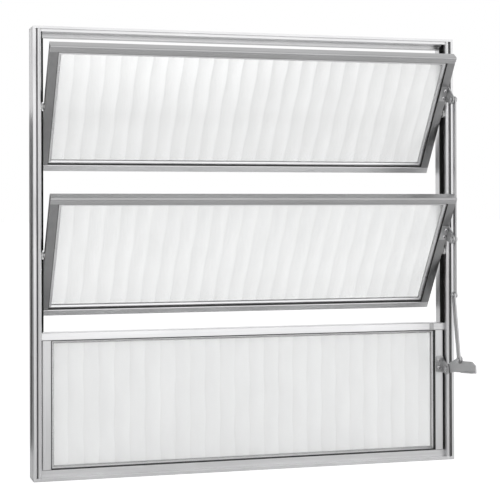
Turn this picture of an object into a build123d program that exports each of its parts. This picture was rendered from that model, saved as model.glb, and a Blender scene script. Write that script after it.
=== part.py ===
from build123d import *
import os
from math import atan2, cos, degrees, hypot, radians, sin

# Aluminium pivot window with two tilting sashes over a fixed light, in millimetres.
# X runs across the window, Y from the room outwards, Z up.
# The origin is at the middle of the underside of the sill.
# The sashes stand at their open angle, which is the rest pose.

os.makedirs("parts", exist_ok=True)

# Outer frame
WIDTH = 600.0
HEIGHT = 600.0
DEPTH = 38.0
FRAME_WALL = 1.3
JAMB_FACE = 11.0
HEAD_FACE = 7.0
HEAD_STOP = 5.0
HEAD_STOP_DEPTH = 14.0
SILL_FACE = 13.5
TRANSOM_TOP = 195.0
TRANSOM_FACE = 10.5
TRANSOM_DEPTH = 24.0

# Lips, grooves and keys of the frame
JAMB_LIP = 3.6
JAMB_GROOVE = 1.2
GROOVE_DEPTH = 3.2
CROWN = 1.2
HEAD_LIP = 3.2
HEAD_STEP = 2.0
SILL_LIP = 4.5
SILL_STEP = 2.0
EDGE_CHAMFER = 0.9
KEY_WIDTH = 7.0
KEY_DEPTH = 0.5
KEY_MARGIN = 6.0

# Sashes
OPEN_ANGLE = 34.0
SASH_COUNT = 2
PIVOT_DEPTH = 9.0
PIVOT_DROP = 2.25
SASH_GAP = 5.0
SASH_DEPTH = 11.0
SASH_WALL = 1.2
STILE_FACE = 11.0
TOP_RAIL_FACE = 9.5
BOTTOM_RAIL_FACE = 10.0
NOSE_HEIGHT = 6.0
NOSE_REACH = 1.2
NOSE_RADIUS = 2.2
NOSE_GROOVE = 0.5
NOSE_GROOVE_DROP = 3.4
PORT_RADIUS = 2.2
PORT_BORE = 1.3
PORT_SLOT = 1.0

# Glass and what holds it
GLASS_THICKNESS = 3.0
GLASS_MARGIN = 2.0
GLASS_PLAY = 0.3
GLASS_SETBACK = 1.0
GASKET_WIDTH = 0.8
GASKET_SETBACK = 0.6
BEAD_WIDTH = 4.1
BEAD_HEIGHT = 2.2
BEAD_CHAMFER = 1.5
REAR_LEG = 4.4
REAR_LEG_WALL = 1.2

# Fixed light
FIXED_SETBACK = 9.0
FIXED_BEAD_WIDTH = 2.6
FIXED_STILE_FACE = 12.0
FIXED_STILE_DEPTH = 20.0
FIXED_GLASS_DEPTH = 9.0
SIDE_SEAL_WIDTH = 1.8
SIDE_SEAL_SETBACK = 1.0
SIDE_SEAL_DEPTH = 8.0

# Weather strips on the jambs
STRIP_PROUD = 2.5
STRIP_WIDTH = 8.5
STRIP_SETBACK = 9.5
STRIP_END_CUT = 3.5
STRIP_RELIEF = 0.5

# Sash pivots
PIVOT_PIN_RADIUS = 3.0
PIVOT_COLLAR_RADIUS = 4.5
PIVOT_COLLAR = 1.3
PIVOT_TAIL = 4.0
BUSH_RADIUS = 5.0
BUSH_THICKNESS = 2.3

# Fits of pins in holes
RUNNING_FIT = 0.05
LOOSE_FIT = 0.25
SEAT_FIT = 0.02
PLATE_GAP = 0.3

# Connecting rod, link and their pins
ARM_REACH = 42.5
ARM_RISE = 17.0
LINK_PIN_RADIUS = 2.0
PIN_HEAD_RADIUS = 3.3
PIN_HEAD = 1.3
ROD_STANDOFF = 2.0
ROD_THICKNESS = 2.0
ROD_WIDTH = 8.0
ROD_TOP_END = 4.5
ROD_TAIL = 61.5
LINK_THICKNESS = 2.0
LINK_WIDTH = 9.6

# Sash brackets
BRACKET_SHEET = 1.5
BRACKET_FOOT = 24.0
BRACKET_HEIGHT = 23.0
BRACKET_EYE_RADIUS = 6.5

# Operating lever and its base
LEVER_PIVOT_HEIGHT = 130.0
LEVER_PIVOT_REACH = 8.0
LEVER_SHEET = 2.0
LEVER_HUB_RADIUS = 6.0
LEVER_EYE_RADIUS = 5.5
LEVER_LENGTH = 92.0
LEVER_HEIGHT = 16.0
LEVER_RISE = 4.7
LEVER_SLOPE = 4.0
LEVER_CORNER = 12.0
LEVER_CORNER_DROP = 5.5
LEVER_FLANGE = 5.0
LEVER_FLANGE_SHEET = 1.5
LEVER_FLANGE_START = 56.0
LEVER_PIN_RADIUS = 2.5
BASE_MARGIN = 1.2
BASE_RISE = 6.0
BASE_WIDTH = 11.0
BASE_HEIGHT = 23.0
BASE_SHEET = 1.5
BASE_CORNER = 2.0
BASE_EYE_RADIUS = 7.5

# Pieces on the right end of the transom
END_PIECE_WIDTH = 15.0
END_PIECE_HEIGHT = 9.0
END_PIECE_SHEET = 1.2
END_PIECE_MARGIN = 2.0
END_CLIP_WIDTH = 5.5
END_CLIP_SHEET = 0.6

# Places that follow from the sizes above
FRONT = -DEPTH / 2
FIXED_FRONT = FRONT + FIXED_SETBACK
SIDE = WIDTH / 2
JAMB_INNER = SIDE - JAMB_FACE
OPENING_TOP = HEIGHT - HEAD_FACE
TRANSOM_LOW = TRANSOM_TOP - TRANSOM_FACE
SASH_HEIGHT = (OPENING_TOP - TRANSOM_TOP - SASH_GAP * (SASH_COUNT + 1)) / SASH_COUNT
SASH_TOP = SASH_HEIGHT / 2 - PIVOT_DROP
SASH_BOTTOM = SASH_HEIGHT / 2 + PIVOT_DROP
SASH_SIDE = JAMB_INNER - SASH_GAP
PIVOT_Y = FRONT + PIVOT_DEPTH
LOWER_PIVOT = TRANSOM_TOP + SASH_GAP + SASH_BOTTOM
UPPER_PIVOT = LOWER_PIVOT + SASH_HEIGHT + SASH_GAP
SASHES = {"upper": UPPER_PIVOT, "lower": LOWER_PIVOT}
REAR_LEG_FRONT = GLASS_SETBACK + (GLASS_THICKNESS + GLASS_PLAY) / 2
ROD_INNER = SASH_SIDE + ROD_STANDOFF
ROD_OUTER = ROD_INNER + ROD_THICKNESS
LINK_OUTER = ROD_INNER - PLATE_GAP
LINK_INNER = LINK_OUTER - LINK_THICKNESS
LEVER_OUTER = ROD_INNER + LEVER_SHEET
ARM_Y = PIVOT_Y - ARM_REACH
ROD_LOW_PIN = LOWER_PIVOT - ROD_TAIL
LEVER_PIVOT_Y = FRONT - LEVER_PIVOT_REACH
LEVER_PIN_Y = LEVER_PIVOT_Y - ARM_REACH
LEVER_PIN_Z = LEVER_PIVOT_HEIGHT + ARM_RISE


def finish(piece, name):
    """Label a finished piece and write it to its own file."""
    piece.part.label = name
    export_step(piece.part, f"parts/{name}.step")


def rail_plane(x):
    """Plane across the frame at x: sketch x runs back from the front, sketch y up."""
    return Plane(origin=(x, FRONT, 0), x_dir=(0, 1, 0), z_dir=(1, 0, 0))


def fixed_plane():
    """Front plane of the transom and the fixed light, its normal to the room."""
    return Plane(origin=(0, FIXED_FRONT, 0), x_dir=(1, 0, 0), z_dir=(0, -1, 0))


def side_plane(x):
    """Plane square to X at x: sketch x is Y, sketch y is Z."""
    return Plane(origin=(x, 0, 0), x_dir=(0, 1, 0), z_dir=(1, 0, 0))


def jamb_plane(side):
    """Plane across a jamb: sketch x runs in from the outer side, sketch y back from the front."""
    foot = 0 if side < 0 else HEIGHT
    return Plane(origin=(side * SIDE, FRONT, foot), x_dir=(-side, 0, 0), z_dir=(0, 0, -side))


def sash_plane(pivot):
    """Middle plane of an open sash: sketch x runs across, sketch y up the sash, its normal to the room."""
    tilt = radians(OPEN_ANGLE)
    return Plane(origin=(0, PIVOT_Y, pivot), x_dir=(1, 0, 0), z_dir=(0, -cos(tilt), -sin(tilt)))


def sash_rail_plane(pivot, x):
    """Plane across a sash rail: sketch x runs outwards, sketch y up the sash."""
    sash = sash_plane(pivot)
    return Plane(origin=sash.from_local_coords((x, 0, 0)), x_dir=-sash.z_dir, z_dir=sash.x_dir)


def sash_stile_plane(pivot, side):
    """Plane across one end of a sash stile: sketch x runs in from the edge, sketch y outwards."""
    sash = sash_plane(pivot)
    end = BOTTOM_RAIL_FACE - SASH_BOTTOM if side < 0 else SASH_TOP - TOP_RAIL_FACE
    origin = sash.from_local_coords((side * SASH_SIDE, end, 0))
    return Plane(origin=origin, x_dir=sash.x_dir * -side, z_dir=sash.y_dir * -side)


def jamb_outline():
    """Outer shape of a jamb: lip, groove and curved crown in front, two keys on its outer side."""
    groove_end = JAMB_LIP + JAMB_GROOVE
    crown_end = JAMB_FACE - CROWN
    crown_middle = groove_end + 0.3 * (crown_end - groove_end)
    key_middle = KEY_MARGIN + KEY_WIDTH / 2
    with BuildSketch() as outline:
        with BuildLine():
            front = Polyline((0, 0), (JAMB_LIP, 0), (JAMB_LIP, GROOVE_DEPTH), (groove_end, GROOVE_DEPTH))
            crown = ThreePointArc(front @ 1, (crown_middle, 0.4 * GROOVE_DEPTH), (crown_end, 0))
            Polyline(crown @ 1, (JAMB_FACE, CROWN), (JAMB_FACE, DEPTH), (0, DEPTH), (0, 0))
        make_face()
        with Locations((0, key_middle), (0, DEPTH - key_middle)):
            Rectangle(2 * KEY_DEPTH, KEY_WIDTH, mode=Mode.SUBTRACT)
    return outline.sketch


def jamb_hollow():
    """Chamber inside a jamb."""
    outer = KEY_DEPTH + FRAME_WALL
    inner = JAMB_FACE - FRAME_WALL
    crown_side = JAMB_LIP + JAMB_GROOVE + FRAME_WALL
    floor = GROOVE_DEPTH + FRAME_WALL
    with BuildSketch() as hollow:
        with Locations((outer, floor)):
            Rectangle(inner - outer, DEPTH - FRAME_WALL - floor, align=Align.MIN)
        with Locations((crown_side, CROWN + FRAME_WALL)):
            Rectangle(inner - crown_side, floor, align=Align.MIN)
    return hollow.sketch


def head_outline(inset=0.0):
    """Section of the head, with a lip in front and a stop at the back, or its chamber when set in."""
    stop_front = DEPTH - HEAD_STOP_DEPTH + inset
    top = HEIGHT - inset
    low = OPENING_TOP + inset
    stop_low = OPENING_TOP - HEAD_STOP + inset
    face = HEAD_STEP + inset
    back = DEPTH - inset
    with BuildSketch() as outline:
        with BuildLine():
            Polyline(
                (face, top),
                (face, low),
                (stop_front, low),
                (stop_front, stop_low),
                (back, stop_low),
                (back, top),
                close=True,
            )
        make_face()
    return outline.sketch


def head_cap():
    """Top wall of the head and the lip along its front, which run over the jambs."""
    with BuildSketch() as cap:
        with Locations((0, HEIGHT)):
            Rectangle(DEPTH, FRAME_WALL, align=(Align.MIN, Align.MAX))
            Rectangle(HEAD_STEP, HEAD_LIP, align=(Align.MIN, Align.MAX))
    return cap.sketch


def sill_outline(inset=0.0):
    """Section of the sill, a ledge in front of a set back bar, or its chamber when set in."""
    ledge = SILL_LIP - inset
    face = FIXED_SETBACK + inset
    top = SILL_FACE - inset
    back = DEPTH - inset
    with BuildSketch() as outline:
        with BuildLine():
            Polyline(
                (inset, inset),
                (back, inset),
                (back, top),
                (face, top),
                (face, ledge),
                (inset, ledge),
                close=True,
            )
        make_face()
        chamfer(outline.vertices().sort_by(Axis.Y)[-2:].sort_by(Axis.X)[:1], EDGE_CHAMFER)
    return outline.sketch


def sill_foot():
    """Bottom wall of the sill and the lip along its front, which run under the jambs."""
    with BuildSketch() as foot:
        Rectangle(DEPTH, FRAME_WALL, align=Align.MIN)
        Rectangle(SILL_STEP, SILL_LIP, align=Align.MIN)
    return foot.sketch


def box_outline(depth, height, inset=0.0):
    """Section of a plain hollow bar with bevelled front edges, its front at sketch x 0."""
    with BuildSketch() as outline:
        with Locations((inset, 0)):
            Rectangle(depth - 2 * inset, height - 2 * inset, align=(Align.MIN, Align.CENTER))
        chamfer(outline.vertices().group_by(Axis.X)[0], EDGE_CHAMFER)
    return outline.sketch


def top_rail_outline(inset=0.0):
    """Section of a sash's top rail with its rounded nose, or its chamber when set in."""
    front = inset - SASH_DEPTH / 2
    back = SASH_DEPTH / 2 - inset
    top = SASH_TOP - inset
    low = SASH_TOP - TOP_RAIL_FACE + inset
    nose_front = front - NOSE_REACH
    nose_low = SASH_TOP - NOSE_HEIGHT + inset
    with BuildSketch() as outline:
        with BuildLine():
            Polyline(
                (back, low),
                (back, top),
                (nose_front, top),
                (nose_front, nose_low),
                (front, nose_low),
                (front, low),
                close=True,
            )
        make_face()
        fillet(outline.vertices().sort_by(Axis.X)[:2].sort_by(Axis.Y)[-1:], NOSE_RADIUS - inset)
    return outline.sketch


def nose_port():
    """Open ring inside the nose of a top rail, for a screw into the rail's end."""
    middle = PORT_RADIUS + SASH_WALL / 2 - SASH_DEPTH / 2 - NOSE_REACH
    with BuildSketch() as port:
        with Locations((middle, SASH_TOP - SASH_WALL / 2 - PORT_RADIUS)):
            Circle(PORT_RADIUS)
            Circle(PORT_BORE, mode=Mode.SUBTRACT)
            Rectangle(PORT_RADIUS + SASH_WALL, PORT_SLOT, align=(Align.MIN, Align.CENTER), mode=Mode.SUBTRACT)
    return port.sketch


def ring(plane, box, width, back, front, bevel=0.0):
    """Frame inside a box on a plane, between two distances along the plane's normal."""
    low_x, low_y, high_x, high_y = box
    size_x = high_x - low_x
    size_y = high_y - low_y
    with BuildPart() as frame:
        with BuildSketch(plane.offset(back)):
            with Locations((low_x + size_x / 2, low_y + size_y / 2)):
                Rectangle(size_x, size_y)
                Rectangle(size_x - 2 * width, size_y - 2 * width, mode=Mode.SUBTRACT)
        extrude(amount=front - back)
        if bevel > 0:
            outward = Axis(plane.origin, plane.z_dir)
            face = frame.faces().filter_by(outward).sort_by(outward)[-1]
            chamfer(face.inner_wires().edges(), bevel)
    return frame


def glazing(prefix, plane, box, middle, front, bead_width):
    """Glass in a frame's opening, with its gasket and bevelled bead on the room side."""
    low_x, low_y, high_x, high_y = box
    seat = middle + (GLASS_THICKNESS + GLASS_PLAY) / 2
    bead_box = (low_x + GASKET_WIDTH, low_y + GASKET_WIDTH, high_x - GASKET_WIDTH, high_y - GASKET_WIDTH)
    gasket = ring(plane, box, GASKET_WIDTH, seat, front - GASKET_SETBACK)
    finish(gasket, f"{prefix}_gasket")
    bead = ring(plane, bead_box, bead_width, seat, seat + BEAD_HEIGHT, BEAD_CHAMFER)
    finish(bead, f"{prefix}_bead")
    with BuildPart() as glass:
        with BuildSketch(plane.offset(middle - GLASS_THICKNESS / 2)):
            with Locations(((low_x + high_x) / 2, (low_y + high_y) / 2)):
                Rectangle(high_x - low_x - 2 * GLASS_MARGIN, high_y - low_y - 2 * GLASS_MARGIN)
        extrude(amount=GLASS_THICKNESS)
    finish(glass, f"{prefix}_glass")


def stepped_pin(name, y, z, steps):
    """Round pin along X, from the start, end and radius of each of its steps."""
    with BuildPart() as pin:
        for start, end, radius in steps:
            with BuildSketch(side_plane(start)):
                with Locations((y, z)):
                    Circle(radius)
            extrude(amount=end - start)
    finish(pin, name)


# Outer frame

def build_head():
    """Hollow bar between the jambs under a cap that runs over them."""
    with BuildPart() as head:
        with BuildSketch(rail_plane(-SIDE)):
            add(head_cap())
        extrude(amount=WIDTH)
        with BuildSketch(rail_plane(-JAMB_INNER)):
            add(head_outline())
            add(head_outline(FRAME_WALL), mode=Mode.SUBTRACT)
        extrude(amount=2 * JAMB_INNER)
    finish(head, "head")


def build_sill():
    """Hollow bar between the jambs on a foot that runs under them."""
    with BuildPart() as sill:
        with BuildSketch(rail_plane(-SIDE)):
            add(sill_foot())
        extrude(amount=WIDTH)
        with BuildSketch(rail_plane(-JAMB_INNER)):
            add(sill_outline())
            add(sill_outline(FRAME_WALL), mode=Mode.SUBTRACT)
        extrude(amount=2 * JAMB_INNER)
    finish(sill, "sill")


def build_jamb(name, side):
    """Jamb between the head's cap and the sill's foot, with holes for the sash pivots."""
    with BuildPart() as jamb:
        with BuildSketch(jamb_plane(side)):
            add(jamb_outline())
            add(jamb_hollow(), mode=Mode.SUBTRACT)
        extrude(amount=HEIGHT)
        with BuildSketch(rail_plane(-SIDE)):
            add(head_cap())
            add(sill_foot())
        extrude(amount=WIDTH, mode=Mode.SUBTRACT)
        with BuildSketch(side_plane(side * JAMB_INNER)):
            with Locations(*[(PIVOT_Y, pivot) for pivot in SASHES.values()]):
                Circle(PIVOT_PIN_RADIUS + LOOSE_FIT)
        extrude(amount=side * FRAME_WALL, mode=Mode.SUBTRACT)
    finish(jamb, name)


def build_transom():
    with BuildPart() as transom:
        with BuildSketch(rail_plane(-JAMB_INNER)):
            with Locations((FIXED_SETBACK, TRANSOM_TOP - TRANSOM_FACE / 2)):
                add(box_outline(TRANSOM_DEPTH, TRANSOM_FACE))
                add(box_outline(TRANSOM_DEPTH, TRANSOM_FACE, FRAME_WALL), mode=Mode.SUBTRACT)
        extrude(amount=2 * JAMB_INNER)
    finish(transom, "transom")


def build_transom_end():
    """Cover piece on the front of the transom's right end, and the clip beside it."""
    right = JAMB_INNER - END_PIECE_MARGIN
    middle = TRANSOM_TOP - TRANSOM_FACE / 2
    with BuildPart() as piece:
        with BuildSketch(fixed_plane()):
            with Locations((right - END_PIECE_WIDTH / 2, middle)):
                Rectangle(END_PIECE_WIDTH, END_PIECE_HEIGHT)
        extrude(amount=END_PIECE_SHEET)
    finish(piece, "transom_end_piece")
    with BuildPart() as clip:
        with BuildSketch(fixed_plane()):
            with Locations((right - END_PIECE_WIDTH - END_CLIP_WIDTH / 2, middle)):
                Rectangle(END_CLIP_WIDTH, END_PIECE_HEIGHT)
        extrude(amount=END_CLIP_SHEET)
    finish(clip, "transom_end_clip")


def build_weather_strip(name, side):
    """Strip along a jamb's inner side, with a slanted top end and round cuts for the pivot bushes."""
    front = FRONT + STRIP_SETBACK
    back = front + STRIP_WIDTH
    back_top = OPENING_TOP - STRIP_END_CUT
    with BuildPart() as strip:
        with BuildSketch(side_plane(side * JAMB_INNER)):
            with BuildLine():
                Polyline(
                    (front, TRANSOM_TOP),
                    (back, TRANSOM_TOP),
                    (back, back_top),
                    (front, OPENING_TOP),
                    close=True,
                )
            make_face()
            with Locations(*[(PIVOT_Y, pivot) for pivot in SASHES.values()]):
                Circle(BUSH_RADIUS + STRIP_RELIEF, mode=Mode.SUBTRACT)
        extrude(amount=-side * STRIP_PROUD)
    finish(strip, name)


# Fixed light

def build_fixed_stile(name, side):
    middle = side * (JAMB_INNER - SIDE_SEAL_WIDTH - FIXED_STILE_FACE / 2)
    foot = Plane(origin=(middle, FIXED_FRONT, SILL_FACE), x_dir=(0, 1, 0), z_dir=(0, 0, 1))
    with BuildPart() as stile:
        with BuildSketch(foot):
            add(box_outline(FIXED_STILE_DEPTH, FIXED_STILE_FACE))
            add(box_outline(FIXED_STILE_DEPTH, FIXED_STILE_FACE, FRAME_WALL), mode=Mode.SUBTRACT)
        extrude(amount=TRANSOM_LOW - SILL_FACE)
    finish(stile, name)


def build_fixed_light():
    side = JAMB_INNER - SIDE_SEAL_WIDTH - FIXED_STILE_FACE
    box = (-side, SILL_FACE, side, TRANSOM_LOW)
    glazing("fixed", fixed_plane(), box, -FIXED_GLASS_DEPTH, 0, FIXED_BEAD_WIDTH)
    stop_front = -FIXED_GLASS_DEPTH - (GLASS_THICKNESS + GLASS_PLAY) / 2
    stop = ring(fixed_plane(), box, REAR_LEG, stop_front - REAR_LEG_WALL, stop_front)
    finish(stop, "fixed_rear_stop")


def build_side_seals():
    with BuildPart() as seals:
        with BuildSketch(Plane.XY.offset(SILL_FACE)):
            for side in (-1, 1):
                x = side * (JAMB_INNER - SIDE_SEAL_WIDTH / 2)
                with Locations((x, FIXED_FRONT + SIDE_SEAL_SETBACK + SIDE_SEAL_DEPTH / 2)):
                    Rectangle(SIDE_SEAL_WIDTH, SIDE_SEAL_DEPTH)
        extrude(amount=TRANSOM_LOW - SILL_FACE)
    finish(seals, "fixed_side_seals")


# Sashes

def rear_leg(pivot, low, high):
    """Leg of a sash rail behind the glass, between two heights up the sash."""
    reach = SASH_SIDE - STILE_FACE - REAR_LEG
    with BuildPart() as leg:
        with BuildSketch(sash_rail_plane(pivot, -reach)):
            with Locations((REAR_LEG_FRONT, low)):
                Rectangle(REAR_LEG_WALL, high - low, align=Align.MIN)
        extrude(amount=2 * reach)
    return leg.part


def build_top_rail(name, pivot):
    low = SASH_TOP - TOP_RAIL_FACE
    with BuildPart() as rail:
        with BuildSketch(sash_rail_plane(pivot, -SASH_SIDE)):
            add(top_rail_outline())
            with Locations((-SASH_DEPTH / 2 - NOSE_REACH, SASH_TOP - NOSE_GROOVE_DROP)):
                Circle(NOSE_GROOVE, mode=Mode.SUBTRACT)
            add(top_rail_outline(SASH_WALL), mode=Mode.SUBTRACT)
            add(nose_port())
        extrude(amount=2 * SASH_SIDE)
        add(rear_leg(pivot, low - REAR_LEG, low))
    finish(rail, name)


def build_bottom_rail(name, pivot):
    high = BOTTOM_RAIL_FACE - SASH_BOTTOM
    with BuildPart() as rail:
        with BuildSketch(sash_rail_plane(pivot, -SASH_SIDE)):
            with Locations((-SASH_DEPTH / 2, high - BOTTOM_RAIL_FACE / 2)):
                add(box_outline(SASH_DEPTH, BOTTOM_RAIL_FACE))
                add(box_outline(SASH_DEPTH, BOTTOM_RAIL_FACE, SASH_WALL), mode=Mode.SUBTRACT)
        extrude(amount=2 * SASH_SIDE)
        add(rear_leg(pivot, high, high + REAR_LEG))
    finish(rail, name)


def build_stile(name, pivot, side):
    """Hollow stile between the rails, with its leg behind the glass."""
    length = SASH_HEIGHT - TOP_RAIL_FACE - BOTTOM_RAIL_FACE
    with BuildPart() as stile:
        with BuildSketch(sash_stile_plane(pivot, side)):
            with Locations((STILE_FACE / 2, 0)):
                Rectangle(STILE_FACE, SASH_DEPTH)
                Rectangle(STILE_FACE - 2 * SASH_WALL, SASH_DEPTH - 2 * SASH_WALL, mode=Mode.SUBTRACT)
            with Locations((STILE_FACE, REAR_LEG_FRONT)):
                Rectangle(REAR_LEG, REAR_LEG_WALL, align=Align.MIN)
        extrude(amount=length)
    finish(stile, name)


def build_pivot_pins(name, pivot):
    """Collared pins on both sides of a sash."""
    with BuildPart() as pins:
        for side in (-1, 1):
            with BuildSketch(side_plane(side * SASH_SIDE)):
                with Locations((PIVOT_Y, pivot)):
                    Circle(PIVOT_COLLAR_RADIUS)
            extrude(amount=side * PIVOT_COLLAR)
            with BuildSketch(side_plane(side * SASH_SIDE)):
                with Locations((PIVOT_Y, pivot)):
                    Circle(PIVOT_PIN_RADIUS)
            extrude(amount=side * (SASH_GAP + PIVOT_TAIL))
    finish(pins, name)


def build_pivot_bushes(name, pivot):
    """Bushes on the jambs that the pivot pins turn in."""
    with BuildPart() as bushes:
        for side in (-1, 1):
            with BuildSketch(side_plane(side * JAMB_INNER)):
                with Locations((PIVOT_Y, pivot)):
                    Circle(BUSH_RADIUS)
                    Circle(PIVOT_PIN_RADIUS + RUNNING_FIT, mode=Mode.SUBTRACT)
            extrude(amount=-side * BUSH_THICKNESS)
    finish(bushes, name)


def build_bracket(name, pivot):
    """Angle bracket on the right stile: a base on its front and an ear out to the rod's pin."""
    sash = sash_plane(pivot)
    pin = sash.to_local_coords(Vector(0, ARM_Y, pivot + ARM_RISE))
    middle = BRACKET_FOOT + BRACKET_HEIGHT / 2
    with BuildPart() as bracket:
        with BuildSketch(sash.offset(SASH_DEPTH / 2)):
            with Locations((SASH_SIDE, middle)):
                Rectangle(STILE_FACE, BRACKET_HEIGHT, align=(Align.MAX, Align.CENTER))
        extrude(amount=BRACKET_SHEET)
        with BuildSketch(sash_rail_plane(pivot, SASH_SIDE - BRACKET_SHEET)):
            with Locations((-(SASH_DEPTH + BRACKET_SHEET) / 2, middle)):
                Rectangle(BRACKET_SHEET, BRACKET_HEIGHT)
            with Locations((-pin.Z, pin.Y)):
                Circle(BRACKET_EYE_RADIUS)
            make_hull()
            with Locations((-pin.Z, pin.Y)):
                Circle(LINK_PIN_RADIUS + SEAT_FIT, mode=Mode.SUBTRACT)
        extrude(amount=BRACKET_SHEET)
    finish(bracket, name)


def build_bracket_pin(name, pivot):
    ear = SASH_SIDE - BRACKET_SHEET
    steps = [
        (ear - PIN_HEAD, ear, PIN_HEAD_RADIUS),
        (ear, SASH_SIDE, LINK_PIN_RADIUS),
        (SASH_SIDE, ROD_INNER - PLATE_GAP, PIN_HEAD_RADIUS),
        (ROD_INNER - PLATE_GAP, ROD_OUTER + PLATE_GAP, LINK_PIN_RADIUS),
        (ROD_OUTER + PLATE_GAP, ROD_OUTER + PLATE_GAP + PIN_HEAD, PIN_HEAD_RADIUS),
    ]
    stepped_pin(name, ARM_Y, pivot + ARM_RISE, steps)


def build_sash(name, pivot):
    side = SASH_SIDE - STILE_FACE
    box = (-side, BOTTOM_RAIL_FACE - SASH_BOTTOM, side, SASH_TOP - TOP_RAIL_FACE)
    build_top_rail(f"{name}_top_rail", pivot)
    build_bottom_rail(f"{name}_bottom_rail", pivot)
    build_stile(f"{name}_stile_left", pivot, -1)
    build_stile(f"{name}_stile_right", pivot, 1)
    glazing(name, sash_plane(pivot), box, -GLASS_SETBACK, SASH_DEPTH / 2, BEAD_WIDTH)
    build_pivot_pins(f"{name}_pivot_pins", pivot)
    build_pivot_bushes(f"{name}_pivot_bushes", pivot)
    build_bracket(f"{name}_bracket", pivot)
    build_bracket_pin(f"{name}_bracket_pin", pivot)


# Operating linkage

def link_pin_steps():
    """Pin seated in an outer plate that the link turns on."""
    inner = LINK_INNER - PLATE_GAP
    return [
        (inner - PIN_HEAD, inner, PIN_HEAD_RADIUS),
        (inner, ROD_OUTER, LINK_PIN_RADIUS),
        (ROD_OUTER, ROD_OUTER + PIN_HEAD, PIN_HEAD_RADIUS),
    ]


def build_rod():
    top = UPPER_PIVOT + ARM_RISE + ROD_TOP_END
    low = ROD_LOW_PIN - ROD_WIDTH / 2
    with BuildPart() as rod:
        with BuildSketch(side_plane(ROD_INNER)):
            with Locations((ARM_Y, (top + low) / 2)):
                SlotOverall(top - low, ROD_WIDTH, rotation=90)
            with Locations((ARM_Y, UPPER_PIVOT + ARM_RISE)):
                Circle(LINK_PIN_RADIUS + RUNNING_FIT, mode=Mode.SUBTRACT)
            with Locations((ARM_Y, LOWER_PIVOT + ARM_RISE)):
                Circle(LINK_PIN_RADIUS + LOOSE_FIT, mode=Mode.SUBTRACT)
            with Locations((ARM_Y, ROD_LOW_PIN)):
                Circle(LINK_PIN_RADIUS + SEAT_FIT, mode=Mode.SUBTRACT)
        extrude(amount=ROD_THICKNESS)
    finish(rod, "connecting_rod")
    stepped_pin("rod_pin", ARM_Y, ROD_LOW_PIN, link_pin_steps())


def build_link():
    run = LEVER_PIN_Y - ARM_Y
    rise = LEVER_PIN_Z - ROD_LOW_PIN
    lean = degrees(atan2(rise, run))
    with BuildPart() as link:
        with BuildSketch(side_plane(LINK_INNER)):
            with Locations((ARM_Y + run / 2, ROD_LOW_PIN + rise / 2)):
                SlotCenterToCenter(hypot(run, rise), LINK_WIDTH, rotation=lean)
            with Locations((ARM_Y, ROD_LOW_PIN)):
                Circle(LINK_PIN_RADIUS + LOOSE_FIT, mode=Mode.SUBTRACT)
            with Locations((LEVER_PIN_Y, LEVER_PIN_Z)):
                Circle(LINK_PIN_RADIUS + RUNNING_FIT, mode=Mode.SUBTRACT)
        extrude(amount=LINK_THICKNESS)
    finish(link, "link")


def lever_plane():
    """Outer face of the lever: sketch x runs out along the lever, sketch y up, its normal inwards."""
    slope = radians(LEVER_SLOPE)
    origin = (LEVER_OUTER, LEVER_PIVOT_Y, LEVER_PIVOT_HEIGHT)
    return Plane(origin=origin, x_dir=(0, -cos(slope), sin(slope)), z_dir=(-1, 0, 0))


def build_lever():
    """Hand lever: a hub on the base, an eye for the link's pin and a flanged hand plate."""
    plane = lever_plane()
    pin = plane.to_local_coords(Vector(LEVER_OUTER, LEVER_PIN_Y, LEVER_PIN_Z))
    top = LEVER_RISE + LEVER_HEIGHT / 2
    low = LEVER_RISE - LEVER_HEIGHT / 2
    with BuildPart() as lever:
        with BuildSketch(plane):
            Circle(LEVER_HUB_RADIUS)
            with Locations((pin.X, pin.Y)):
                Circle(LEVER_EYE_RADIUS)
            make_hull()
            with BuildLine():
                Polyline(
                    (0, LEVER_HUB_RADIUS),
                    (pin.X, top),
                    (LEVER_LENGTH - LEVER_CORNER, top),
                    (LEVER_LENGTH, top - LEVER_CORNER_DROP),
                    (LEVER_LENGTH, low),
                    (pin.X / 2, low),
                    (0, -LEVER_HUB_RADIUS),
                    close=True,
                )
            make_face()
            Circle(LEVER_PIN_RADIUS + RUNNING_FIT, mode=Mode.SUBTRACT)
            with Locations((pin.X, pin.Y)):
                Circle(LINK_PIN_RADIUS + SEAT_FIT, mode=Mode.SUBTRACT)
        extrude(amount=LEVER_SHEET)
        with BuildSketch(plane):
            with Locations((LEVER_FLANGE_START, low)):
                Rectangle(LEVER_LENGTH - LEVER_FLANGE_START, LEVER_FLANGE_SHEET, align=Align.MIN)
        extrude(amount=LEVER_SHEET + LEVER_FLANGE)
    finish(lever, "lever")
    stepped_pin("lever_pin", LEVER_PIN_Y, LEVER_PIN_Z, link_pin_steps())


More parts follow.
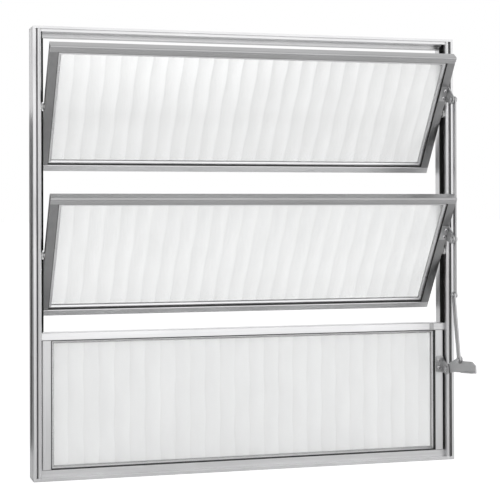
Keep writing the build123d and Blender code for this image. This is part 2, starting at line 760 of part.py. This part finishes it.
def build_lever_base():
    """Base on the fixed light's right stile with an ear that carries the lever's pivot pin."""
    middle = LEVER_PIVOT_HEIGHT + BASE_RISE
    with BuildPart() as base:
        with BuildSketch(fixed_plane()):
            with Locations((LINK_OUTER + BASE_MARGIN - BASE_WIDTH / 2, middle)):
                RectangleRounded(BASE_WIDTH, BASE_HEIGHT, BASE_CORNER)
        extrude(amount=BASE_SHEET)
        with BuildSketch(side_plane(LINK_INNER)):
            with Locations((FIXED_FRONT - BASE_SHEET / 2, middle)):
                Rectangle(BASE_SHEET, BASE_HEIGHT - 2 * BASE_CORNER)
            with Locations((LEVER_PIVOT_Y, LEVER_PIVOT_HEIGHT)):
                Circle(BASE_EYE_RADIUS)
            make_hull()
            with Locations((LEVER_PIVOT_Y, LEVER_PIVOT_HEIGHT)):
                Circle(LEVER_PIN_RADIUS + SEAT_FIT, mode=Mode.SUBTRACT)
        extrude(amount=LINK_THICKNESS)
    finish(base, "lever_base")
    steps = [
        (LINK_INNER - PIN_HEAD, LINK_INNER, PIN_HEAD_RADIUS + 1),
        (LINK_INNER, LEVER_OUTER + PLATE_GAP, LEVER_PIN_RADIUS),
        (LEVER_OUTER + PLATE_GAP, LEVER_OUTER + PLATE_GAP + PIN_HEAD, PIN_HEAD_RADIUS + 1),
    ]
    stepped_pin("lever_pivot_pin", LEVER_PIVOT_Y, LEVER_PIVOT_HEIGHT, steps)


build_head()
build_sill()
build_jamb("jamb_left", -1)
build_jamb("jamb_right", 1)
build_transom()
build_transom_end()
build_weather_strip("weather_strip_left", -1)
build_weather_strip("weather_strip_right", 1)
build_fixed_stile("fixed_stile_left", -1)
build_fixed_stile("fixed_stile_right", 1)
build_fixed_light()
build_side_seals()
for sash_name, sash_pivot in SASHES.items():
    build_sash(sash_name, sash_pivot)
build_rod()
build_link()
build_lever()
build_lever_base()
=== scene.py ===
"""Looks of the pivot window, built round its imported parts. Lengths are in metres."""

import math
import random

import bmesh
import bpy
from mathutils import Matrix, Vector


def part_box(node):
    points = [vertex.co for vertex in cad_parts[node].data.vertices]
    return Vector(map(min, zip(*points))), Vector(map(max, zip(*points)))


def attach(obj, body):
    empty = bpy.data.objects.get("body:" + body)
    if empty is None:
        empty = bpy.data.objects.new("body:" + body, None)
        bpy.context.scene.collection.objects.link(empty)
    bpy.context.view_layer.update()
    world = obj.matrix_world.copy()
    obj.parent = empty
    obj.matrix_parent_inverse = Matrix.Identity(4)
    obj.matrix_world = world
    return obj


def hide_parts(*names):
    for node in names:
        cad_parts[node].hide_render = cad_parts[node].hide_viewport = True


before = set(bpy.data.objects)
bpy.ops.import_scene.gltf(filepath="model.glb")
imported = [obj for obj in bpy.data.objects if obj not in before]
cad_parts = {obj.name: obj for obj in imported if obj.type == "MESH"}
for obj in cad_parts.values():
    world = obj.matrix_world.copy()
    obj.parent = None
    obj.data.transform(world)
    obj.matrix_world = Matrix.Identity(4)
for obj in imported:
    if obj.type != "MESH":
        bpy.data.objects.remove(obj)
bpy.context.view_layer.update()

# Lean of the open sashes, and depth and heights of their pivots
OPEN_ANGLE = math.radians(34)
PIVOT_Y = -0.010
PIVOTS = {"upper": 0.4945, "lower": 0.298}

# Camera: its place, turn and focal length as found from the frame's corners in the photograph
PHOTO_SIZE = 500
CAMERA_PLACE = (-0.5584, -1.9087, 0.3518)
CAMERA_YAW = math.radians(16.37)
CAMERA_PITCH = math.radians(0.3)
CAMERA_ROLL = math.radians(-0.174)
FOCAL_PIXELS = 1436.3
PRINCIPAL_ROW = 206.2
SENSOR = 36.0
NEAR_LIMIT = 0.01

# World: plain light, and a mirror image that goes from grey in front of the window to white behind it
WORLD_LIGHT = 0.55
FRONT_GLOSS = 0.63
BACK_GLOSS = 1.0
GLOSS_TURN = (-0.7, 0.4)

# Floor
FLOOR_REACH = 60.0
FLOOR_TONE = 0.8
FLOOR_GLOW = 0.62
FLOOR_GLOSS = 0.27

# Black card
FLAG_SIDES = (-1.5, -0.306)
FLAG_HEIGHTS = (0.0, 0.5)
FLAG_DEPTH = 0.25
FLAG_TONE = 0.01

# Lips of the weather strips, between the pivots
STRIP_LIP_X = 0.2862
STRIP_LIP_Y = -0.0085
LIP_RADIUS = 0.00105
LIP_STEPS = 16
STRIP_LIP_RUNS = [(0.1965, 0.292), (0.304, 0.4885), (0.5005, 0.585)]

# Screws: the brackets' by place across and height above the pivot, the lever base's by place
FOOT_FRONT = 0.00695
FOOT_SCREWS = [(0.2794, 0.0295), (0.2798, 0.0408)]
FOOT_SCREW_RADIUS = 0.0026
BASE_SCREWS = [(0.2797, -0.01145, 0.1312), (0.2797, -0.01145, 0.1418)]
BASE_SCREW_RADIUS = 0.0024
SCREW_RINGS = 12
SCREW_STEPS = 32

# Screw heads, in shares of their radius: height, drop of the rim, and size of the cross
SCREW_HEIGHT = 0.62
SCREW_DROP = 0.55
CROSS_REACH = 0.56
CROSS_WIDTH = 0.16
CROSS_DEPTH = 0.34

# Metal: scale of its fine lines and soft clouds, across and along the grain
LINE_SCALE = (900.0, 6.0)
LINE_RANGE = (0.25, 0.75)
LINE_TONES = (0.94, 1.05)
LINE_DEPTH = 0.0002
LINE_BUMP = 0.12
CLOUD_SCALE = (60.0, 9.0)
CLOUD_RANGE = (0.3, 0.7)
ROUGH_SPREAD = 0.15
METAL_TINT = (1.0, 1.0, 1.01)

# Metal: painted shade in hollows, worn edges with a painted highlight, and painted shade on the wall of
# the jambs' groove
HOLLOW_REACH = 0.002
HOLLOW_SAMPLES = 6
HOLLOW_RANGE = (0.2, 0.7)
HOLLOW_TONE = 0.6
EDGE_RADIUS = 0.0004
EDGE_SAMPLES = 4
EDGE_RANGE = (0.9, 1.0)
EDGE_WEAR_AND_HIGHLIGHT = 1.2
GROOVE_TONE = 0.22
GROOVE_FADE = (0.00018, 0.00026)
JAMB_GROOVE_WALL = 0.29628

# Rubber and plastic
GRAIN_DEPTH = 0.0001
DUST_RANGE = (0.35, 0.75)
RUBBER_SHINE = 0.12
RUBBER_ROUGHNESS = (0.55, 0.8)
PLASTIC_ROUGHNESS = (0.35, 0.55)

# Fluted glass: its flutes
FLUTE_PITCH = 0.0208
FLUTE_DEPTH = 0.0004
FLUTE_COLUMNS = 8
FLUTE_ROWS = 28
FLUTE_SWAY = 0.0006
FLUTE_WAVE = 0.075
FLUTE_CREST = 0.3
SHARP_ANGLE = math.radians(40)

# Fluted glass: its seeds, roller marks and the painted shade across each flute
GLASS_IOR = 1.5
GLASS_TINT = (0.995, 1.0, 1.0)
GLASS_SPREAD = 0.02
GLASS_ROUGHNESS = (0.12, 0.22)
SHADE_REACH = 0.8
ROLLER_SCALE = (45.0, 14.0, 14.0)
ROLLER_RANGE = (0.3, 0.7)
ROLLER_DEPTH = 0.0006
SEED_SCALE = 700.0

# Whole range of a noise value
WHOLE_RANGE = (0.0, 1.0)


# Objects and nodes

def add_object(name, data):
    made = bpy.data.objects.new(name, data)
    bpy.context.scene.collection.objects.link(made)
    return made


def add_card(name, corners, material):
    """Flat four-sided object."""
    data = bpy.data.meshes.new(name)
    data.from_pydata(corners, [], [(0, 1, 2, 3)])
    data.materials.append(material)
    return add_object(name, data)


def add_solid(name, mesh, material):
    """Object of an edited mesh, which is freed."""
    data = bpy.data.meshes.new(name)
    mesh.to_mesh(data)
    mesh.free()
    data.materials.append(material)
    return add_object(name, data)


def add_node(tree, kind, **values):
    """Node of a tree, with inputs and settings given by name; a node's output as a value is linked."""
    node = tree.nodes.new(kind)
    for name, value in values.items():
        key = name.replace("_", " ")
        socket = node.inputs.get(key) or node.inputs.get(key.title())
        if socket is None:
            setattr(node, name, value)
        elif isinstance(value, bpy.types.NodeSocket):
            tree.links.new(value, socket)
        else:
            socket.default_value = value
    return node


def math_node(tree, operation, first, second=0.0):
    node = tree.nodes.new("ShaderNodeMath")
    node.operation = operation
    for socket, value in zip(node.inputs, (first, second)):
        if isinstance(value, bpy.types.NodeSocket):
            tree.links.new(value, socket)
        else:
            socket.default_value = value
    return node.outputs[0]


def noise(tree, place, scale, detail):
    return add_node(tree, "ShaderNodeTexNoise", Vector=place, Scale=scale, Detail=detail).outputs[0]


def remap(tree, value, source, target):
    """Value taken from one range to another and held at its ends."""
    return add_node(tree, "ShaderNodeMapRange", Value=value, From_Min=source[0], From_Max=source[1],
                    To_Min=target[0], To_Max=target[1]).outputs[0]


def object_place(tree):
    return tree.nodes.new("ShaderNodeTexCoord").outputs["Object"]


def grey(tone):
    return (tone, tone, tone, 1)


def ray_kinds(tree):
    """1 for rays from the camera or through glass, and 1 for rays off gloss."""
    path = tree.nodes.new("ShaderNodeLightPath").outputs
    direct = math_node(tree, "MAXIMUM", path["Is Camera Ray"], path["Is Transmission Ray"])
    return direct, path["Is Glossy Ray"]


# Camera, light and floor

def place_camera():
    look = Vector((
        math.sin(CAMERA_YAW) * math.cos(CAMERA_PITCH),
        math.cos(CAMERA_YAW) * math.cos(CAMERA_PITCH),
        math.sin(CAMERA_PITCH),
    ))
    level_right = Vector((math.cos(CAMERA_YAW), -math.sin(CAMERA_YAW), 0))
    level_up = level_right.cross(look)
    right = level_right * math.cos(CAMERA_ROLL) + level_up * math.sin(CAMERA_ROLL)
    up = level_up * math.cos(CAMERA_ROLL) - level_right * math.sin(CAMERA_ROLL)
    data = bpy.data.cameras.new("camera")
    data.sensor_width = SENSOR
    data.lens = SENSOR * FOCAL_PIXELS / PHOTO_SIZE
    data.shift_y = (PRINCIPAL_ROW - PHOTO_SIZE / 2) / PHOTO_SIZE
    data.clip_start = NEAR_LIMIT
    camera = add_object("camera", data)
    turn = Matrix((right, up, -look)).transposed().to_4x4()
    camera.matrix_world = Matrix.Translation(CAMERA_PLACE) @ turn
    bpy.context.scene.camera = camera


def light_world():
    """White where it is seen, plain light on matt surfaces, and grey to white in metal."""
    world = bpy.data.worlds.new("studio")
    bpy.context.scene.world = world
    world.use_nodes = True
    tree = world.node_tree
    tree.nodes.clear()
    direction = tree.nodes.new("ShaderNodeTexCoord").outputs["Generated"]
    axes = add_node(tree, "ShaderNodeSeparateXYZ", Vector=direction).outputs
    ahead = remap(tree, axes["Y"], GLOSS_TURN, (FRONT_GLOSS, BACK_GLOSS))
    direct, glossy = ray_kinds(tree)
    mirrored = math_node(tree, "MULTIPLY", ahead, glossy)
    strength = math_node(tree, "MAXIMUM", math_node(tree, "MAXIMUM", direct, mirrored), WORLD_LIGHT)
    background = add_node(tree, "ShaderNodeBackground", Color=grey(1), Strength=strength)
    output = tree.nodes.new("ShaderNodeOutputWorld")
    tree.links.new(background.outputs[0], output.inputs["Surface"])


def add_area_light(name, place, target, width, watts):
    data = bpy.data.lights.new(name, "AREA")
    data.shape = "DISK"
    data.size = width
    data.energy = watts
    light = add_object(name, data)
    light.location = place
    aim = Vector(target) - Vector(place)
    light.rotation_euler = aim.to_track_quat("-Z", "Y").to_euler()


def empty_material(name):
    material = bpy.data.materials.new(name)
    material.use_nodes = True
    material.node_tree.nodes.clear()
    return material, material.node_tree


def show_shader(tree, shader):
    output = tree.nodes.new("ShaderNodeOutputMaterial")
    tree.links.new(shader.outputs[0], output.inputs["Surface"])


def add_floor():
    """Pale floor that glows where it is seen, and keeps the window's shadow."""
    material, tree = empty_material("floor")
    diffuse = add_node(tree, "ShaderNodeBsdfDiffuse", Color=grey(FLOOR_TONE))
    direct, glossy = ray_kinds(tree)
    seen = math_node(tree, "MAXIMUM", direct, math_node(tree, "MULTIPLY", glossy, FLOOR_GLOSS))
    glow_strength = math_node(tree, "MULTIPLY", seen, FLOOR_GLOW)
    glow = add_node(tree, "ShaderNodeEmission", Color=grey(1), Strength=glow_strength)
    both = tree.nodes.new("ShaderNodeAddShader")
    tree.links.new(diffuse.outputs[0], both.inputs[0])
    tree.links.new(glow.outputs[0], both.inputs[1])
    show_shader(tree, both)
    reach = FLOOR_REACH
    corners = [(-reach, -reach, 0), (reach, -reach, 0), (reach, reach, 0), (-reach, reach, 0)]
    floor = add_card("floor", corners, material)


def add_flag():
    """Black card left of the view, which darkens the outer side of the left jamb."""
    material, tree = empty_material("flag")
    show_shader(tree, add_node(tree, "ShaderNodeBsdfDiffuse", Color=grey(FLAG_TONE)))
    left, right = FLAG_SIDES
    low, high = FLAG_HEIGHTS
    corners = [(left, FLAG_DEPTH, low), (right, FLAG_DEPTH, low),
               (right, FLAG_DEPTH, high), (left, FLAG_DEPTH, high)]
    flag = add_card("flag", corners, material)
    flag.visible_camera = False
    flag.visible_diffuse = False
    flag.visible_transmission = False
    flag.visible_shadow = False


# Materials

def new_material(name):
    material, tree = empty_material(name)
    shader = tree.nodes.new("ShaderNodeBsdfPrincipled")
    show_shader(tree, shader)
    return material, tree, shader


def set_color(tree, shader, tone, tint=(1.0, 1.0, 1.0)):
    """Base colour from a tone, with a share of it for each channel."""
    color = tree.nodes.new("ShaderNodeCombineColor")
    for channel, share in zip(color.inputs, tint):
        tree.links.new(math_node(tree, "MULTIPLY", tone, share), channel)
    tree.links.new(color.outputs[0], shader.inputs["Base Color"])


def set_bump(tree, shader, height, strength, distance):
    bump = add_node(tree, "ShaderNodeBump", Strength=strength, Distance=distance, Height=height)
    tree.links.new(bump.outputs[0], shader.inputs["Normal"])
    return bump


def grain_place(tree, along, turn, scales):
    """Coordinates scaled across and along the axis that a piece was extruded or rolled in."""
    across_scale, along_scale = scales
    turned = add_node(tree, "ShaderNodeMapping", Vector=object_place(tree), Rotation=(turn, 0, 0))
    scale = [along_scale if axis == along else across_scale for axis in "XYZ"]
    return add_node(tree, "ShaderNodeMapping", Vector=turned.outputs[0], Scale=scale).outputs[0]


def hollow_shade(tree):
    """Painted shade: tone that is darker in corners and grooves."""
    hollow = add_node(tree, "ShaderNodeAmbientOcclusion", samples=HOLLOW_SAMPLES, Distance=HOLLOW_REACH)
    return remap(tree, hollow.outputs["AO"], HOLLOW_RANGE, (HOLLOW_TONE, 1.0))


def groove_shade(tree, wall):
    """Painted shade on the walls that stand at one distance across from the middle of the window."""
    across = add_node(tree, "ShaderNodeSeparateXYZ", Vector=object_place(tree)).outputs["X"]
    across = math_node(tree, "ABSOLUTE", across)
    away = math_node(tree, "ABSOLUTE", math_node(tree, "SUBTRACT", across, wall))
    return remap(tree, away, GROOVE_FADE, (GROOVE_TONE, 1.0))


def edge_wear_and_highlight(tree, rounded):
    """Worn edges with a painted highlight: tone that is lighter where the rounded normal leaves the
    face's own.
    """
    facing = tree.nodes.new("ShaderNodeVectorMath")
    facing.operation = "DOT_PRODUCT"
    tree.links.new(rounded, facing.inputs[0])
    tree.links.new(tree.nodes.new("ShaderNodeNewGeometry").outputs["Normal"], facing.inputs[1])
    return remap(tree, facing.outputs["Value"], EDGE_RANGE, (EDGE_WEAR_AND_HIGHLIGHT, 1.0))


def metal(name, tone, roughness, along, turn=0.0, blotch=0.06, groove=None):
    """Extruded or rolled metal: fine lines along its length, soft changes of tone, painted shade in
    hollows, and worn edges with a painted highlight.
    """
    material, tree, shader = new_material(name)
    shader.inputs["Metallic"].default_value = 1.0
    lines = noise(tree, grain_place(tree, along, turn, LINE_SCALE), scale=1.0, detail=3.0)
    clouds = noise(tree, grain_place(tree, along, turn, CLOUD_SCALE), scale=1.0, detail=4.0)
    value = remap(tree, clouds, CLOUD_RANGE, (tone * (1 - blotch), tone * (1 + blotch)))
    value = math_node(tree, "MULTIPLY", value, remap(tree, lines, LINE_RANGE, LINE_TONES))
    # Painted shade in corners and grooves
    value = math_node(tree, "MULTIPLY", value, hollow_shade(tree))
    # Painted shade on the wall of the jambs' groove, where a groove is given
    if groove is not None:
        value = math_node(tree, "MULTIPLY", value, groove_shade(tree, groove))
    # Edges lighter, partly as wear and partly as a painted highlight
    rounded = add_node(tree, "ShaderNodeBevel", samples=EDGE_SAMPLES, Radius=EDGE_RADIUS).outputs[0]
    value = math_node(tree, "MULTIPLY", value, edge_wear_and_highlight(tree, rounded))
    set_color(tree, shader, value, METAL_TINT)
    roughnesses = (roughness * (1 - ROUGH_SPREAD), roughness * (1 + ROUGH_SPREAD))
    rough = remap(tree, lines, LINE_RANGE, roughnesses)
    tree.links.new(rough, shader.inputs["Roughness"])
    bump = set_bump(tree, shader, lines, LINE_BUMP, LINE_DEPTH)
    tree.links.new(rounded, bump.inputs["Normal"])
    return material


def rubber(name, low, high):
    """Dull black rubber with a fine grain and a little dust."""
    material, tree, shader = new_material(name)
    shader.inputs["Specular IOR Level"].default_value = RUBBER_SHINE
    place = object_place(tree)
    grain = noise(tree, place, scale=1800.0, detail=3.0)
    dust = noise(tree, place, scale=60.0, detail=5.0)
    set_color(tree, shader, remap(tree, dust, DUST_RANGE, (low, high)))
    rough = remap(tree, grain, WHOLE_RANGE, RUBBER_ROUGHNESS)
    tree.links.new(rough, shader.inputs["Roughness"])
    set_bump(tree, shader, grain, strength=0.3, distance=GRAIN_DEPTH)
    return material


def plastic(name, low, high):
    """Pale plastic with a fine grain."""
    material, tree, shader = new_material(name)
    grain = noise(tree, object_place(tree), scale=1400.0, detail=3.0)
    set_color(tree, shader, remap(tree, grain, WHOLE_RANGE, (low, high)))
    rough = remap(tree, grain, WHOLE_RANGE, PLASTIC_ROUGHNESS)
    tree.links.new(rough, shader.inputs["Roughness"])
    set_bump(tree, shader, grain, strength=0.2, distance=GRAIN_DEPTH)
    return material


def glass(name, shade, clearness, flute_shade):
    """Rolled milky glass: each flute darker past its sharp edge as painted shade, with faint seeds and
    roller marks.
    """
    material, tree, shader = new_material(name)
    shader.inputs["IOR"].default_value = GLASS_IOR
    shader.inputs["Transmission Weight"].default_value = clearness
    place = object_place(tree)
    rolled = add_node(tree, "ShaderNodeMapping", Vector=place, Scale=ROLLER_SCALE).outputs[0]
    waves = noise(tree, rolled, scale=1.0, detail=3.0)
    seeds = noise(tree, place, scale=SEED_SCALE, detail=2.0)
    cloud = remap(tree, waves, ROLLER_RANGE, (shade - GLASS_SPREAD, shade + GLASS_SPREAD))
    # Painted shade across each flute, darkest just past its sharp edge, where side light would leave it
    across = add_node(tree, "ShaderNodeAttribute", attribute_name="flute").outputs["Fac"]
    painted_flute_shade = remap(tree, across, (0.0, SHADE_REACH), (flute_shade, 1.0))
    set_color(tree, shader, math_node(tree, "MULTIPLY", cloud, painted_flute_shade), GLASS_TINT)
    rough = remap(tree, seeds, WHOLE_RANGE, GLASS_ROUGHNESS)
    tree.links.new(rough, shader.inputs["Roughness"])
    set_bump(tree, shader, waves, strength=0.15, distance=ROLLER_DEPTH)
    return material


def dress(material, *nodes):
    for node in nodes:
        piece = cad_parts[node]
        if not piece.material_slots:
            piece.data.materials.append(material)
        for slot in piece.material_slots:
            slot.material = material


def dress_nodes():
    # The frame, sash and transom extrusions are one aluminium: the sashes' top rails and stiles get
    # darker tones as painted shade, darkest on the stiles, and the transom bar a lighter tone as
    # painted light
    across = metal("frame_across", tone=0.66, roughness=0.34, along="X")
    upright = metal("frame_upright", tone=0.66, roughness=0.34, along="Z", groove=JAMB_GROOVE_WALL)
    sash_across = metal("sash_across", tone=0.44, roughness=0.36, along="X")
    sash_upright = metal("sash_upright", tone=0.3, roughness=0.36, along="Z", turn=OPEN_ANGLE)
    low_rail = metal("low_rail", tone=0.64, roughness=0.36, along="X")
    bar = metal("transom_bar", tone=0.82, roughness=0.34, along="X")
    bead = metal("bead", tone=0.7, roughness=0.3, along="X")
    strap = metal("strap", tone=0.45, roughness=0.38, along="Z")
    plate = metal("plate", tone=0.47, roughness=0.4, along="Y")
    steel = metal("steel", tone=0.5, roughness=0.28, along="X", blotch=0.15)
    seal = rubber("seal", low=0.003, high=0.01)
    gasket = rubber("gasket", low=0.04, high=0.08)
    bush = plastic("bush", low=0.66, high=0.76)
    add_screws(metal("screw", tone=0.62, roughness=0.22, along="X", blotch=0.1))
    dress(bar, "transom")
    dress(across, "head", "sill", "transom_end_piece", "fixed_rear_stop")
    dress(upright, "jamb_left", "jamb_right", "fixed_stile_left", "fixed_stile_right")
    dress(seal, "weather_strip_left", "weather_strip_right", "fixed_side_seals")
    dress(gasket, "fixed_gasket")
    add_strip_lips(seal)
    dress(strap, "connecting_rod", "link")
    dress(plate, "lever", "lever_base", "transom_end_clip")
    dress(steel, "lever_pivot_pin", "rod_pin", "lever_pin")
    dress(bead, "fixed_bead")
    for sash in ("upper", "lower"):
        dress(sash_across, sash + "_top_rail")
        dress(low_rail, sash + "_bottom_rail")
        dress(sash_upright, sash + "_stile_left", sash + "_stile_right")
        dress(bead, sash + "_bead")
        dress(gasket, sash + "_gasket")
        dress(plate, sash + "_bracket")
        dress(steel, sash + "_bracket_pin", sash + "_pivot_pins")
        dress(bush, sash + "_pivot_bushes")


# Seals

def add_lip(mesh, side, levels):
    """Upright round bar between two levels, closed at both ends."""
    rings = []
    for level in levels:
        ring = []
        for step in range(LIP_STEPS):
            angle = 2 * math.pi * step / LIP_STEPS
            x = side * (STRIP_LIP_X + LIP_RADIUS * math.cos(angle))
            y = STRIP_LIP_Y + LIP_RADIUS * math.sin(angle)
            ring.append(mesh.verts.new((x, y, level)))
        rings.append(ring)
    bottom, top = rings
    for step in range(LIP_STEPS):
        after = (step + 1) % LIP_STEPS
        face = mesh.faces.new([bottom[step], bottom[after], top[after], top[step]])
        face.smooth = True
    mesh.faces.new(bottom[::-1])
    mesh.faces.new(top)


def add_strip_lips(material):
    """Thin round lip along the front edge of each weather strip, broken at the pivots."""
    mesh = bmesh.new()
    for side in (-1, 1):
        for levels in STRIP_LIP_RUNS:
            add_lip(mesh, side, levels)
    bmesh.ops.recalc_face_normals(mesh, faces=mesh.faces)
    lips = add_solid("weather_strip_lips", mesh, material)
    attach(lips, "frame")


# Screws

def add_screw(mesh, place, normal, up, radius):
    """Pan head with a cross recess, closed underneath."""
    side = normal.cross(up)
    rings = []
    for ring in range(SCREW_RINGS + 1):
        reach = radius * ring / SCREW_RINGS
        line = []
        for step in range(SCREW_STEPS if ring else 1):
            angle = 2 * math.pi * step / SCREW_STEPS
            along, over = reach * math.cos(angle), reach * math.sin(angle)
            height = SCREW_HEIGHT * radius * (1 - SCREW_DROP * (reach / radius) ** 4)
            arm, width = max(abs(along), abs(over)), min(abs(along), abs(over))
            if arm < CROSS_REACH * radius and width < CROSS_WIDTH * radius:
                height -= CROSS_DEPTH * radius
            line.append(mesh.verts.new(place + side * along + up * over + normal * height))
        rings.append(line)
    skirt = [mesh.verts.new(vert.co - normal * (vert.co - place).dot(normal)) for vert in rings[-1]]
    rings.append(skirt)
    for step in range(SCREW_STEPS):
        after = (step + 1) % SCREW_STEPS
        mesh.faces.new([rings[0][0], rings[1][step], rings[1][after]])
        for inner, outer in zip(rings[1:], rings[2:]):
            mesh.faces.new([inner[step], outer[step], outer[after], inner[after]])
    mesh.faces.new(skirt[::-1])


def screw_set(name, body, places, normal, up, radius, material):
    mesh = bmesh.new()
    for place in places:
        add_screw(mesh, Vector(place), normal, up, radius)
    bmesh.ops.recalc_face_normals(mesh, faces=mesh.faces)
    screws = add_solid(name, mesh, material)
    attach(screws, body)


def add_screws(material):
    lean, level = math.sin(OPEN_ANGLE), math.cos(OPEN_ANGLE)
    up, normal = Vector((0, -lean, level)), Vector((0, -level, -lean))
    for sash, height in PIVOTS.items():
        places = []
        for x, rise in FOOT_SCREWS:
            places.append(Vector((x, PIVOT_Y, height)) + up * rise + normal * FOOT_FRONT)
        screw_set(sash + "_bracket_screws", sash + "_sash", places, normal, up,
                  FOOT_SCREW_RADIUS, material)
    screw_set("lever_base_screws", "frame", BASE_SCREWS, Vector((0, -1, 0)), Vector((0, 0, 1)),
              BASE_SCREW_RADIUS, material)


# Glass

def leaning_sheet(size, tilt):
    """Height and thickness of a sheet that leans in an upright box of a given size."""
    reach = size.z * math.cos(tilt) - size.y * math.sin(tilt)
    height = reach / math.cos(2 * tilt)
    thickness = (size.y - height * math.sin(tilt)) / math.cos(tilt)
    return height, thickness


def flute_bulge(part):
    """How far a flute stands out, at a share of the way across it."""
    rise = part / FLUTE_CREST if part < FLUTE_CREST else (1 - part) / (1 - FLUTE_CREST)
    return FLUTE_DEPTH * math.sin(rise * math.pi / 2)


def add_sheet_side(mesh, grid, columns, share, turned):
    """Smooth faces of one side, with each corner's share of the way across its flute."""
    for line, above in zip(grid, grid[1:]):
        for c in range(len(columns) - 1):
            corners = [line[c], line[c + 1], above[c + 1], above[c]]
            face = mesh.faces.new(corners[::-1] if turned else corners)
            face.smooth = True
            parts = [columns[c][1], columns[c + 1][1] or 1.0]
            for loop in face.loops:
                loop[share] = parts[loop.vert in (line[c + 1], above[c + 1])]


def add_sheet_rims(mesh, front, back):
    """Flat faces between the two sides, at the left, right, bottom and top."""
    for r in range(len(front) - 1):
        mesh.faces.new([back[r][0], front[r][0], front[r + 1][0], back[r + 1][0]])
        mesh.faces.new([front[r][-1], back[r][-1], back[r + 1][-1], front[r + 1][-1]])
    for c in range(len(front[0]) - 1):
        mesh.faces.new([back[0][c], back[0][c + 1], front[0][c + 1], front[0][c]])
        mesh.faces.new([front[-1][c], front[-1][c + 1], back[-1][c + 1], back[-1][c]])


def sharpen_sheet(mesh, front):
    """Sharp edges between the flutes and round the rims."""
    mesh.normal_update()
    for line, above in zip(front, front[1:]):
        for column in range(0, len(line), FLUTE_COLUMNS):
            mesh.edges.get((line[column], above[column])).smooth = False
    for edge in mesh.edges:
        if len(edge.link_faces) == 2 and edge.calc_face_angle() > SHARP_ANGLE:
            edge.smooth = False


def fluted_sheet(prefix, body, tilt, material, seed):
    """Sheet with slightly wavy upright flutes on its room side, in place of a plain glass node."""
    node = prefix + "_glass"
    low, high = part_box(node)
    size = high - low
    middle = (low + high) / 2
    height, thickness = leaning_sheet(size, tilt)
    across = Vector((1, 0, 0))
    front = Vector((0, -math.cos(tilt), -math.sin(tilt)))
    up = front.cross(across)
    count = round(size.x / FLUTE_PITCH)
    pitch = size.x / count
    rng = random.Random(seed)
    phases = [rng.uniform(0, 2 * math.pi) for _ in range(count + 1)]

    def edge_x(index, level):
        if index in (0, count):
            return index * pitch
        wave = math.sin(2 * math.pi * level / FLUTE_WAVE + phases[index])
        return index * pitch + FLUTE_SWAY * wave

    def sheet_point(index, part, level, out):
        x = edge_x(index, level) * (1 - part) + edge_x(index + 1, level) * part
        return middle + across * (x - size.x / 2) + up * (level - height / 2) + front * out

    mesh = bmesh.new()
    share = mesh.loops.layers.float.new("flute")
    columns = [(i, c / FLUTE_COLUMNS) for i in range(count) for c in range(FLUTE_COLUMNS)]
    columns.append((count - 1, 1.0))
    rows = [height * r / FLUTE_ROWS for r in range(FLUTE_ROWS + 1)]

    def add_grid(outs):
        return [[mesh.verts.new(sheet_point(index, part, level, out))
                 for (index, part), out in zip(columns, outs)] for level in rows]

    front_grid = add_grid([thickness / 2 - FLUTE_DEPTH + flute_bulge(part) for _, part in columns])
    back_grid = add_grid([-thickness / 2] * len(columns))
    add_sheet_side(mesh, front_grid, columns, share, turned=False)
    add_sheet_side(mesh, back_grid, columns, share, turned=True)
    add_sheet_rims(mesh, front_grid, back_grid)
    sharpen_sheet(mesh, front_grid)
    sheet = add_solid(prefix + "_fluted_glass", mesh, material)
    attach(sheet, body)
    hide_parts(node)


place_camera()
light_world()
add_area_light("key", place=(0.6, -2.3, 1.15), target=(0, 0, 0.3), width=2.8, watts=16)
add_area_light("fill", place=(-1.8, -1.8, 1.4), target=(0, 0, 0.3), width=2.2, watts=9)
add_area_light("side", place=(2.3, -0.5, 0.95), target=(0, 0, 0.4), width=1.4, watts=7)
add_area_light("back", place=(0.4, 2.2, 1.8), target=(0, 0, 0.3), width=2.4, watts=3.8)
add_floor()
add_flag()
dress_nodes()
upper_glass = glass("fluted_glass_upper", shade=0.975, clearness=0.83, flute_shade=0.91)
fluted_sheet("upper", "upper_sash", OPEN_ANGLE, upper_glass, seed=3)
lower_glass = glass("fluted_glass_lower", shade=0.98, clearness=0.82, flute_shade=0.92)
fluted_sheet("lower", "lower_sash", OPEN_ANGLE, lower_glass, seed=5)
fixed_glass = glass("fluted_glass_fixed", shade=0.92, clearness=0.66, flute_shade=0.95)
fluted_sheet("fixed", "frame", 0.0, fixed_glass, seed=8)

bpy.context.scene.view_settings.view_transform = "Standard"
